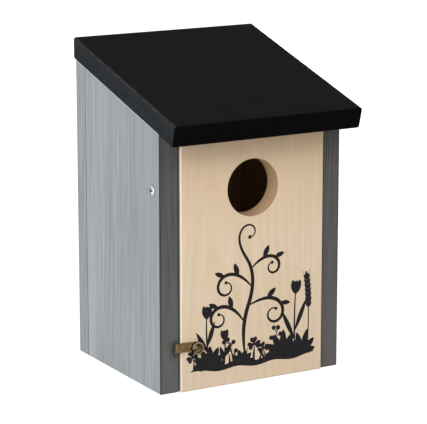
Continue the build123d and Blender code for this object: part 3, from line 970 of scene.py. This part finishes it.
def tuft(foot, reach, count, width, seed, rise=1.0):
    """Leaves that fan out from a foot, with shorter ones between them."""
    chance = random.Random(seed)
    for i in range(count):
        share = i / (count - 1)
        heading = fan_start - fan_sweep * share
        length = reach * (1 + (rise - 1) * math.sin(math.pi * share)) * chance.uniform(0.92, 1.08)
        meadow.leaf(step_along(foot, heading, reach * 0.12), heading, length, width, 0.7)
        if i < count - 1:
            meadow.leaf(foot, heading - fan_sweep / 2 / (count - 1), length * 0.62, width * 0.9, 0.6)


def tulip(foot, heading, length, bend, size):
    """A stalk with two long leaves and a cup of three petals."""
    line = curl(foot, heading, length, bend, 1.5, 20)
    meadow.pen(line, 0.9, 1.4, 0.3)
    head, along = line[-1]
    cup = step_along(head, along + 180, size * 0.12)
    for side in (-1, 1):
        meadow.leaf(cup, along + side * 17, size * 1.12, size * 0.5, 0.7)
        place, low_along = line[3 if side > 0 else 6]
        meadow.leaf(place, low_along + side * 24, length * 0.62, 3.6, 1.0)
    meadow.leaf(cup, along, size * 1.02, size * 0.56, 0.5)

# %% Wheat and berries
def wheat(foot, heading, length, bend):
    """A stalk with an ear of paired grains and short beards."""
    line = curl(foot, heading, length, bend, 1.6, 30)
    meadow.pen(line, 0.6, 1.0, 0.2)
    for i in range(17, 30, 2):
        place, along = line[i]
        for side in (-1, 1):
            meadow.leaf(place, along + side * 26, 5.0, 2.2, 0.6)
            tip = step_along(place, along + side * 26, 4.0)
            meadow.stroke([tip, step_along(tip, along + side * 15, 4.4)], [0.5, 0.2])
    meadow.leaf(line[-1][0], line[-1][1], 5.2, 2.4, 0.6)


def berries(foot, heading, length, bend):
    """A twig with round berries on short stalks."""
    line = curl(foot, heading, length, bend, 1.5, 24)
    meadow.pen(line, 0.6, 1.3, 0.2)
    for i in range(8, 24, 4):
        place, along = line[i]
        side = 1 if (i // 4) % 2 else -1
        tip = step_along(place, along + side * 50, 4.6)
        meadow.stroke([place, tip], [0.7, 0.6])
        meadow.dot(tip, 3.4)
    meadow.dot(line[-1][0], 3.6)

# %% Clover and grass
def clover(foot, heading, length, size):
    """A stalk with three heart-shaped leaflets, each of two lobes and a point."""
    line = curl(foot, heading, length, 12, 1.4, 10)
    meadow.pen(line, 0.6, 1.0, 0.3)
    centre, along = line[-1]
    for turn in (-105, 0, 105):
        for side in (-1, 1):
            lobe = step_along(centre, along + turn + side * 21, size * 0.72)
            meadow.patch(lobe, along + turn + side * 30, size * 0.78, size * 0.62, 0)
        meadow.leaf(centre, along + turn, size * 0.95, size * 0.55, 0.5)


def grass(foot, heading, length, bend):
    """A blade of grass that bends over towards its tip."""
    line = curl(foot, heading, length, bend, 1.5, 12)
    widths = [1.7 * (1 - (i / 12) ** 1.6) + 0.25 for i in range(13)]
    meadow.stroke([place for place, along in line], widths)

# %% Plant the border
turf_steps, turf_reach, turf_height = 30, 52, 14.5
turf, turf_widths = [], []
for i in range(turf_steps + 1):
    share = i / turf_steps
    turf.append(Vector((turf_reach * (2 * share - 1), turf_height + math.sin(i * 0.7))))
    turf_widths.append(0.5 + 3.8 * math.sqrt(max(0, math.sin(math.pi * share))))
meadow.stroke(turf, turf_widths)
for foot, reach, count, width, seed, rise in (
    ((-36, 15), 13, 7, 5.6, 3, 1.15),
    ((-9, 14.5), 9.5, 6, 4.4, 11, 1.0),
    ((26, 15), 14, 7, 6.0, 5, 1.25),
    ((42, 15.5), 11, 6, 5.0, 8, 1.5),
):
    tuft(foot, reach, count, width, seed, rise)
tulip((-37, 22), 97, 31, -10, 9.5)
tulip((-24, 16), 84, 19, 10, 7.6)
tulip((36, 20), 92, 42, -6, 10.0)
wheat((47, 20), 87, 52, 10)
berries((17, 16), 84, 22, -14)
berries((-16, 15), 98, 20, 16)
clover((-48, 14.5), 96, 11, 4.6)
clover((1, 15), 84, 13, 5.0)
clover((11, 15), 98, 9, 4.4)
blades, first_blade, blade_gap = 24, -49, 4.2
for i in range(blades):
    lean = 90 + 18 * math.sin(i * 2.3)
    length = 7 + 5 * abs(math.sin(i * 1.7))
    grass((first_blade + i * blade_gap, turf_height), lean, length, 40 * math.sin(i * 1.9))
meadow.stand_up(charcoal_ink)

# %% [markdown]
# ## Floor
# The box stands on a large pale floor. The camera sees it a little lighter than it is, through
# Light Path, so that it runs to white and only the soft shadow at the foot of the box stays. From
# below it is clear, so that the underside of the box can be looked at.

# %% Floor
floor_half_width, floor_drop, floor_glow = 12, 0.2 * mm, 0.74

sheet = bmesh.new()
bmesh.ops.create_grid(sheet, x_segments=1, y_segments=1, size=floor_half_width)
bmesh.ops.translate(sheet, vec=(0, 0, -floor_drop), verts=sheet.verts)
floor_mesh = bpy.data.meshes.new("studio_floor")
sheet.to_mesh(floor_mesh)
sheet.free()
studio_floor = add_object("studio_floor", floor_mesh)
studio_floor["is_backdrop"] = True


def seen_directly(tree):
    """A mask that is 1 for what the camera sees, also in a reflection or through glass."""
    path = add_node(tree, "LightPath").outputs
    indirect = maths(tree, "MAXIMUM", path["Is Glossy Ray"], path["Is Transmission Ray"])
    return maths(tree, "MAXIMUM", path["Is Camera Ray"], indirect)


material, tree = new_material("studio floor")[:2]
glow = maths(tree, "MULTIPLY", seen_directly(tree), floor_glow)
set_shader(tree, Base_Color=rgb(0.80, 0.80, 0.80), Roughness=1.0, Specular_IOR_Level=0.0)
set_shader(tree, Emission_Color=rgb(1, 1, 1), Emission_Strength=glow)
below = add_node(tree, "NewGeometry").outputs["Backfacing"]
solid = tree.nodes["Principled BSDF"].outputs[0]
clear = add_node(tree, "BsdfTransparent").outputs[0]
both = add_node(tree, "MixShader", {0: below, 1: solid, 2: clear}).outputs[0]
feed(tree, tree.nodes["Material Output"], {"Surface": both})
floor_mesh.materials.append(material)
print(f"studio floor: {2 * floor_half_width} m wide")

# %% [markdown]
# ## Light
# Large lamps close to the object give the soft light of a shop picture. The key stands to the
# left, so that the side of the box is the brighter one. A second lamp above the front lights the
# door and lets the roof throw its soft shade on the door's top. A third stands behind, for views
# of the back. The room itself, the world, fills the rest, and it is white to the camera.

# %% Lamps and world
def lamp(name, place, target, width, watts):
    """A square area lamp that looks at a target."""
    data = bpy.data.lights.new(name, "AREA")
    data.size = width
    data.energy = watts
    lamp_object = add_object(name, data)
    lamp_object.location = place
    lamp_object.rotation_euler = (Vector(target) - Vector(place)).to_track_quat("-Z", "Y").to_euler()
    print(f"{name}: {watts} W, {width} m wide")


lamp("key_left", (-1.35, -0.75, 0.80), (0, 0, 0.12), 1.0, 17.0)
lamp("top_front", (0.05, -0.80, 0.98), (0, -0.05, 0.14), 0.6, 3.1)
lamp("fill_back", (1.30, 1.30, 0.16), (0, 0, 0.12), 0.6, 9.0)

world = bpy.data.worlds.new("room")
bpy.context.scene.world = world
world.use_nodes = True
tree = world.node_tree
room_light = mix_colours(tree, seen_directly(tree), rgb(0.40, 0.375, 0.34), rgb(1, 1, 1))
feed(tree, tree.nodes["Background"], {"Color": room_light})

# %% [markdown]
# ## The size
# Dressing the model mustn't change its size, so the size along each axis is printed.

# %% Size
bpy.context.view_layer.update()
for axis in range(3):
    size = (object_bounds()[1][axis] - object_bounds()[0][axis]) / mm
    print(f"{'xyz'[axis]}: {size:.1f} mm")
